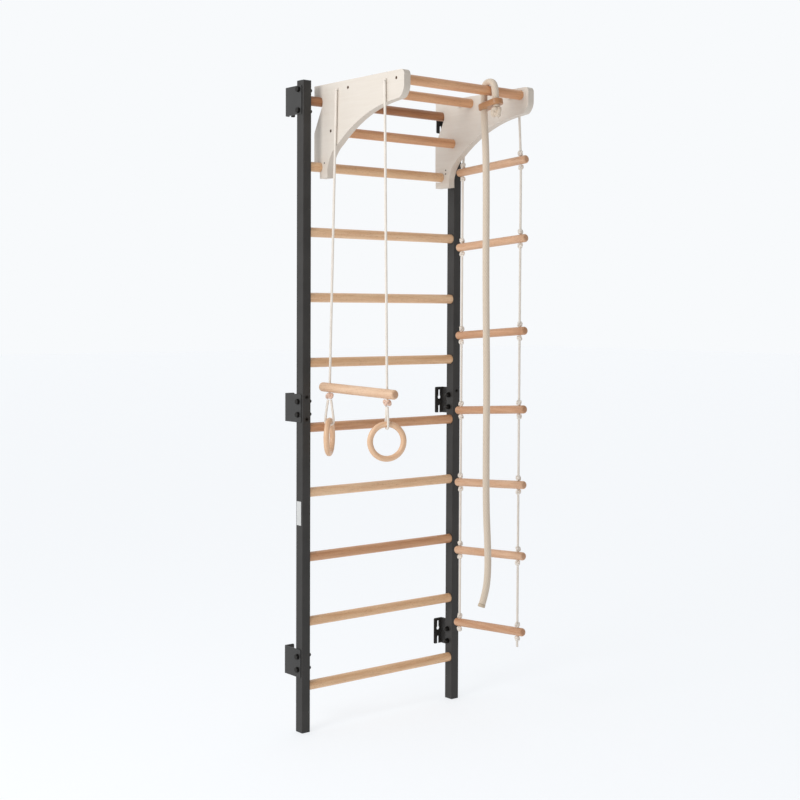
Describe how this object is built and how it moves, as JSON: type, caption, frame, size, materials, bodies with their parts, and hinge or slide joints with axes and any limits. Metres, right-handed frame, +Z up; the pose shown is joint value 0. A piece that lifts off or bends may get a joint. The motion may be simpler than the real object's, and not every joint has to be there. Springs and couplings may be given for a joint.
{
  "type": "wall bars with pull-up unit",
  "caption": "Steel-framed wall bars with beech rungs, a hook-on pull-up unit, a trapeze with rings, a rope ladder and a climbing rope.",
  "frame": {"origin": "on the floor, halfway between the posts and halfway between the wall and the front of the unit", "axes": "+X along the rungs to the rope ladder's side, +Y towards the wall, +Z up"},
  "size_m": [0.7628, 0.57, 2.3063],
  "materials": {
    "painted_steel": "powder coated, dark grey, satin",
    "bracket_steel": "powder coated, charcoal grey, satin",
    "black_plastic": "matt",
    "varnished_beech": "clear satin varnish",
    "varnished_plywood": "pale satin varnish",
    "polypropylene_rope": "matt, braided",
    "cotton_rope": "matt, laid in strands",
    "sealing_tape": "matt",
    "black_steel": "black oxide",
    "label_film": "matt, blank"
  },
  "bodies": {
    "frame": {"left_post": "painted_steel", "right_post": "painted_steel", "left_top_cap": "black_plastic", "right_top_cap": "black_plastic", "left_foot": "black_plastic", "right_foot": "black_plastic", "left_top_bracket": "bracket_steel", "left_middle_bracket": "bracket_steel", "left_bottom_bracket": "bracket_steel", "right_top_bracket": "bracket_steel", "right_middle_bracket": "bracket_steel", "right_bottom_bracket": "bracket_steel", "rung_01": "varnished_beech", "rung_02": "varnished_beech", "rung_03": "varnished_beech", "rung_04": "varnished_beech", "rung_05": "varnished_beech", "rung_06": "varnished_beech", "rung_07": "varnished_beech", "rung_08": "varnished_beech", "rung_09": "varnished_beech", "rung_10": "varnished_beech", "bracket_bolts": "black_steel", "bolt_washers": "black_steel", "dome_nuts": "black_steel", "accessory_inserts": "black_steel", "blank_label": "label_film"},
    "pull_up_unit": {"left_side_panel": "varnished_plywood", "right_side_panel": "varnished_plywood", "front_bar": "varnished_beech", "middle_bar": "varnished_beech", "lower_bar": "varnished_beech", "bar_screws": "black_steel", "lock_pins": "black_steel", "trapeze_anchors": "polypropylene_rope", "ladder_anchors": "polypropylene_rope"},
    "trapeze": {"trapeze_bar": "varnished_beech", "trapeze_rope_rear": "polypropylene_rope", "trapeze_rope_front": "polypropylene_rope", "trapeze_knots": "polypropylene_rope"},
    "rear_ring": {"ring_rear": "varnished_beech", "ring_rope_rear": "polypropylene_rope"},
    "front_ring": {"ring_front": "varnished_beech", "ring_rope_front": "polypropylene_rope"},
    "rope_ladder": {"ladder_rung_1": "varnished_beech", "ladder_rung_2": "varnished_beech", "ladder_rung_3": "varnished_beech", "ladder_rung_4": "varnished_beech", "ladder_rung_5": "varnished_beech", "ladder_rung_6": "varnished_beech", "ladder_rung_7": "varnished_beech", "ladder_rope_rear": "polypropylene_rope", "ladder_rope_front": "polypropylene_rope", "ladder_knots": "polypropylene_rope"},
    "climbing_rope_set": {"climbing_rope": "cotton_rope", "rope_adjuster": "varnished_beech", "rope_stopper_knot": "cotton_rope", "rope_end_seal": "sealing_tape"}
  },
  "joints": [
    {"name": "unit_hinge", "type": "hinge", "parent": "frame", "child": "pull_up_unit", "pos_m": [0.013, 0.2, 2.232], "axis": [-1, 0, 0], "range_deg": [0, 20]},
    {"name": "trapeze_swing", "type": "hinge", "parent": "pull_up_unit", "child": "trapeze", "pos_m": [-0.291, -0.04, 2.264], "axis": [0, 1, 0], "range_deg": [0, 35]},
    {"name": "rear_ring_swing", "type": "hinge", "parent": "trapeze", "child": "rear_ring", "pos_m": [-0.291, 0.1295, 1.19614], "axis": [0, 1, 0], "range_deg": [-8, 30]},
    {"name": "front_ring_swing", "type": "hinge", "parent": "trapeze", "child": "front_ring", "pos_m": [-0.291, -0.193, 1.18913], "axis": [0, 1, 0], "range_deg": [-35, 35]},
    {"name": "rope_ladder_swing", "type": "hinge", "parent": "pull_up_unit", "child": "rope_ladder", "pos_m": [0.327, -0.04, 2.264], "axis": [0, -1, 0], "range_deg": [0, 35]},
    {"name": "climbing_rope_swing", "type": "hinge", "parent": "pull_up_unit", "child": "climbing_rope_set", "pos_m": [0.132, -0.227, 2.264], "axis": [-1, 0, 0], "range_deg": [-10, 45]}
  ]
}
